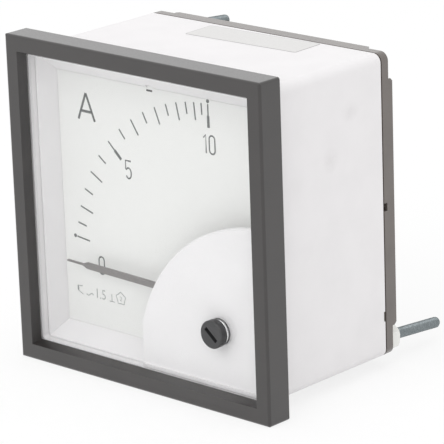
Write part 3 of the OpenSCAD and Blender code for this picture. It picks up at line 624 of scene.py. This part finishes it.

# %% [markdown]
# ## The label on the case
#
# A bare strip of film is stuck on top of the case, a little askew, and its rear right corner just
# laps the case's edge. It is a plane with rounded corners, given the thickness of film. A narrow
# inset face round its cut rim is painted grey, as the shadow that falls along the film's edge.

# %% Blank label
CASE_TOP = 33 * MM
LABEL_MIDDLE = Vector((2.4, 29.2))
LABEL_SIZE = (30.2, 8.6)
LABEL_ASKEW = 2.2
FILM_MM, RIM_MM, CORNER_MM = 0.06, 0.16, 0.5
deselect()
bpy.ops.mesh.primitive_plane_add(size=1, location=(0, 0, 0))
label = bpy.context.object
label.scale = (LABEL_SIZE[0] * MM, LABEL_SIZE[1] * MM, 1)
bpy.ops.object.transform_apply(location=True, rotation=True, scale=True)
bpy.ops.object.mode_set(mode="EDIT")
bpy.ops.mesh.select_all(action="SELECT")
bpy.ops.mesh.bevel(offset=CORNER_MM * MM, segments=4, affect="VERTICES")
bpy.ops.mesh.select_all(action="SELECT")
bpy.ops.mesh.extrude_region_move(TRANSFORM_OT_translate={"value": (0, 0, FILM_MM * MM)})
bpy.ops.mesh.inset(thickness=RIM_MM * MM)
bpy.ops.object.mode_set(mode="OBJECT")
label.rotation_euler.z = radians(LABEL_ASKEW)
label.location = (LABEL_MIDDLE.x * MM, LABEL_MIDDLE.y * MM, CASE_TOP)
settle(label, "case_label", label_film, "meter")
# the small rim faces take the painted grey shadow, the wide face keeps the film
label.data.materials.append(label_rim_painted_shadow)
widest = max(face.area for face in label.data.polygons)
for face in label.data.polygons:
    face.material_index = 0 if face.area > widest / 2 else 1

# %% [markdown]
# ## Threads
#
# A thread is one tooth's profile swept along a helix: the Screw modifier turns and lifts it, and each
# turn joins the next. The sweep starts and ends outside the wanted length, and a plane cuts it square
# at both ends, which also closes it. The tip is drawn in a little, as a rolled thread's is.

# %% A threaded bar
THREAD_STEPS = 20
EDGE_MM = 0.15
SHARP_FROM = 50
ALONG_Y = (radians(90), 0, 0)
THREAD_DEPTH = 0.61   # of the pitch
TOOTH = ((0, 0), (0.12, 0), (0.44, 1), (0.56, 1), (0.88, 0), (1, 0))   # share of the pitch, root or crest
JOIN_MM = 0.001
ON_PLANE_MM = 0.00001


def threaded_bar(radius, pitch, start, end, tip=0.0):
    """A threaded bar along Y, in mm, at the origin; tip is how far the end is drawn in."""
    root = radius - THREAD_DEPTH * pitch
    profile = [(radius if rise else root, along * pitch) for along, rise in TOOTH]
    turns = int((end - start) / pitch) + 3
    mesh = bpy.data.meshes.new("thread")
    mesh.from_pydata([(r * MM, 0, (start - pitch + h) * MM) for r, h in profile],
                     [(i, i + 1) for i in range(len(profile) - 1)], [])
    bar = bpy.data.objects.new("thread", mesh)
    bpy.context.collection.objects.link(bar)
    select_only(bar)
    screw = bar.modifiers.new("helix", "SCREW")
    screw.screw_offset = pitch * MM
    screw.iterations = turns
    screw.steps = screw.render_steps = THREAD_STEPS
    screw.use_merge_vertices = True
    screw.merge_threshold = JOIN_MM * MM
    bpy.ops.object.modifier_apply(modifier=screw.name)
    bpy.ops.object.mode_set(mode="EDIT")
    bpy.ops.mesh.select_all(action="SELECT")
    bpy.ops.mesh.remove_doubles(threshold=JOIN_MM * MM)
    for level, above in ((start, False), (end, True)):
        bpy.ops.mesh.select_all(action="SELECT")
        bpy.ops.mesh.bisect(plane_co=(0, 0, level * MM), plane_no=(0, 0, 1), use_fill=True,
                            clear_inner=not above, clear_outer=above, threshold=ON_PLANE_MM * MM)
    bpy.ops.object.mode_set(mode="OBJECT")
    for vertex in bar.data.vertices:
        draw = max(0.0, vertex.co.z / MM - (end - tip)) * MM
        reach = Vector((vertex.co.x, vertex.co.y)).length
        if reach > 0 and draw > 0:
            vertex.co.x *= 1 - draw / reach
            vertex.co.y *= 1 - draw / reach
    bar.data.transform(Matrix.Rotation(radians(-90), 4, "X"))
    return bar


def plain_bar(radius, start, end, sides=40):
    """A bar along Y with broken edges, in mm: round, or a hexagon where it has six sides."""
    deselect()
    bpy.ops.mesh.primitive_cylinder_add(vertices=sides, radius=radius * MM, depth=(end - start) * MM,
                                        location=(0, (start + end) / 2 * MM, 0), rotation=ALONG_Y)
    bar = bpy.context.object
    bpy.ops.object.transform_apply(location=True, rotation=True, scale=True)
    bpy.ops.object.mode_set(mode="EDIT")
    bpy.ops.mesh.select_all(action="DESELECT")
    bpy.ops.mesh.edges_select_sharp(sharpness=radians(SHARP_FROM))
    bpy.ops.mesh.bevel(offset=EDGE_MM * MM, segments=2)
    bpy.ops.object.mode_set(mode="OBJECT")
    return bar


print("thread steps a turn:", THREAD_STEPS)

# %% [markdown]
# ## Rods and studs
#
# Each clamp rod has a thick plain shank in its socket and a fine thread behind the nut, and hangs
# down a little in its socket. Each terminal stud has a hexagon head inside the meter and an M4
# thread. Both stand for the plain rods and studs of the frame, at the same size and place.

# %% Clamp rods
ROD_R, ROD_PITCH, SHANK_R = 1.2, 0.45, 1.4
ROD_START, SHANK_END, ROD_TIP = 29.5, 40.15, 56
HANG_Y, ROD_DROOP = 31, 4.9
ROD_PLACES = ((29.5, -29.6), (-29.5, 29.6))
OVERLAP, ROD_POINT = 0.2, 0.3
rods = []
for x, z in ROD_PLACES:
    hang = Matrix.Translation(Vector((x, HANG_Y, z)) * MM) @ Matrix.Rotation(radians(-ROD_DROOP), 4, "X")
    for bar in (plain_bar(SHANK_R, ROD_START, SHANK_END),
                threaded_bar(ROD_R, ROD_PITCH, SHANK_END - OVERLAP, ROD_TIP, tip=ROD_POINT)):
        bar.data.transform(hang @ Matrix.Translation((0, -HANG_Y * MM, 0)))
        rods.append(bar)
rod_pair = settle(join(rods), "threaded_clamp_rods", zinc_steel, "meter")
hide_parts("clamp_rods")

# %% Terminal studs
STUD_R, STUD_PITCH, STUD_X, STUD_Z = 2.0, 0.7, 14, 10
HEAD_T, HEAD_FLATS, STUD_POINT = 2.8, 7, 0.5
stud_low, stud_high = [corner.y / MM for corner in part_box("terminal_studs")]
studs = []
for x in (-STUD_X, STUD_X):
    for bar in (plain_bar(HEAD_FLATS / 3 ** 0.5, stud_low, stud_low + HEAD_T, sides=6),
                threaded_bar(STUD_R, STUD_PITCH, stud_low + HEAD_T - 2 * OVERLAP, stud_high, tip=STUD_POINT)):
        bar.data.transform(Matrix.Translation((x * MM, 0, STUD_Z * MM)))
        studs.append(bar)
stud_pair = settle(join(studs), "threaded_terminal_studs", turned_brass, "meter")
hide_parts("terminal_studs")
print("studs from", round(stud_low, 2), "to", round(stud_high, 2))

# %% [markdown]
# ## Camera
#
# The camera stands to the right of the meter and a little above it, far away behind a long lens, so
# that parallel edges stay almost parallel.

# %% Camera
FRONT = Vector((0, -6, 0)) * MM
AZIMUTH, ELEVATION, ROLL = radians(43.04), radians(17.22), radians(-2.01)
DISTANCE, ASIDE, UPWARDS = 641.7, 18.06, 1.01
LENS_MM, SENSOR_MM, CLIP_M = 252.4, 36, (0.01, 20)
back = Vector((sin(AZIMUTH) * cos(ELEVATION), -cos(AZIMUTH) * cos(ELEVATION), sin(ELEVATION)))
level_right = Vector((cos(AZIMUTH), sin(AZIMUTH), 0))
level_up = back.cross(level_right)
right = cos(ROLL) * level_right + sin(ROLL) * level_up
up = -sin(ROLL) * level_right + cos(ROLL) * level_up
camera = bpy.data.objects.new("camera", bpy.data.cameras.new("camera"))
bpy.context.collection.objects.link(camera)
camera.data.lens, camera.data.sensor_width = LENS_MM, SENSOR_MM
camera.data.clip_start, camera.data.clip_end = CLIP_M
camera.matrix_world = Matrix.Translation(FRONT + (right * ASIDE + up * UPWARDS + back * DISTANCE) * MM) @ (
    Matrix((right, up, back)).transposed().to_4x4())
bpy.context.scene.camera = camera
print("camera at", [round(v, 3) for v in camera.location])

# %% [markdown]
# ## Floor and light
#
# The meter stands on a plain white floor in an even white studio. The world is white for the eye and
# for reflections and a little weaker as a lamp, and two large soft lamps, above and in front, model
# the form. The floor is painted white, glows a little to the eye alone and keeps a soft shadow.

# %% Studio
scene = bpy.context.scene
scene.view_settings.view_transform = "Standard"
world = bpy.data.worlds.new("white studio")
scene.world = world
world.use_nodes = True
tree = world.node_tree
tree.nodes.clear()


def seen_directly(tree):
    """1 for rays that look at the background, straight, in a reflection or through glass."""
    path = add(tree, "ShaderNodeLightPath").outputs
    glossy = add(tree, "ShaderNodeMath", {0: path["Is Camera Ray"], 1: path["Is Glossy Ray"]},
                 operation="MAXIMUM")
    return add(tree, "ShaderNodeMath", {0: glossy.outputs[0], 1: path["Is Transmission Ray"]},
               operation="MAXIMUM").outputs[0]


WORLD_STRENGTH = 0.9
surround = add(tree, "ShaderNodeBackground", {
    "Color": colour("#ffffff"), "Strength": spread(tree, seen_directly(tree), 0, 1, WORLD_STRENGTH, 1.0)})
add(tree, "ShaderNodeOutputWorld", {"Surface": surround.outputs[0]})
print("world as a lamp:", WORLD_STRENGTH)

# %% Floor
FLOOR_GLOW, FLOOR_SIZE_M = 0.8, 8
floor_paint, tree, output, place = new_material("white floor paint")
matt = add(tree, "ShaderNodeBsdfDiffuse", {"Color": colour("#f8f8f8")})
glow = add(tree, "ShaderNodeEmission", {"Color": colour("#ffffff"), "Strength": 1.0})
share = add(tree, "ShaderNodeMath", {0: seen_directly(tree), 1: FLOOR_GLOW}, operation="MULTIPLY")
floor_mix = add(tree, "ShaderNodeMixShader", {0: share.outputs[0], 1: matt.outputs[0], 2: glow.outputs[0]})
tree.links.new(floor_mix.outputs[0], output.inputs["Surface"])
deselect()
bpy.ops.mesh.primitive_plane_add(size=FLOOR_SIZE_M, location=(0, 0, cad_low.z))
floor = bpy.context.object
floor.name = "studio_floor"
floor.data.materials.append(floor_paint)
print("floor at z in mm:", round(cad_low.z / MM, 2))

# %% Lamps
LAMP_SIZE_M = 0.9


def soft_lamp(name, place_m, power):
    """A large square lamp that looks at the meter."""
    lamp = bpy.data.objects.new(name, bpy.data.lights.new(name, "AREA"))
    bpy.context.collection.objects.link(lamp)
    lamp.data.energy, lamp.data.size = power, LAMP_SIZE_M
    lamp.location = place_m
    lamp.rotation_euler = Vector(place_m).to_track_quat("Z", "Y").to_euler()


soft_lamp("lamp_above", (0.1, 0.0, 1.1), 1.8)
soft_lamp("lamp_front", (0.0, -1.1, 0.8), 3.8)
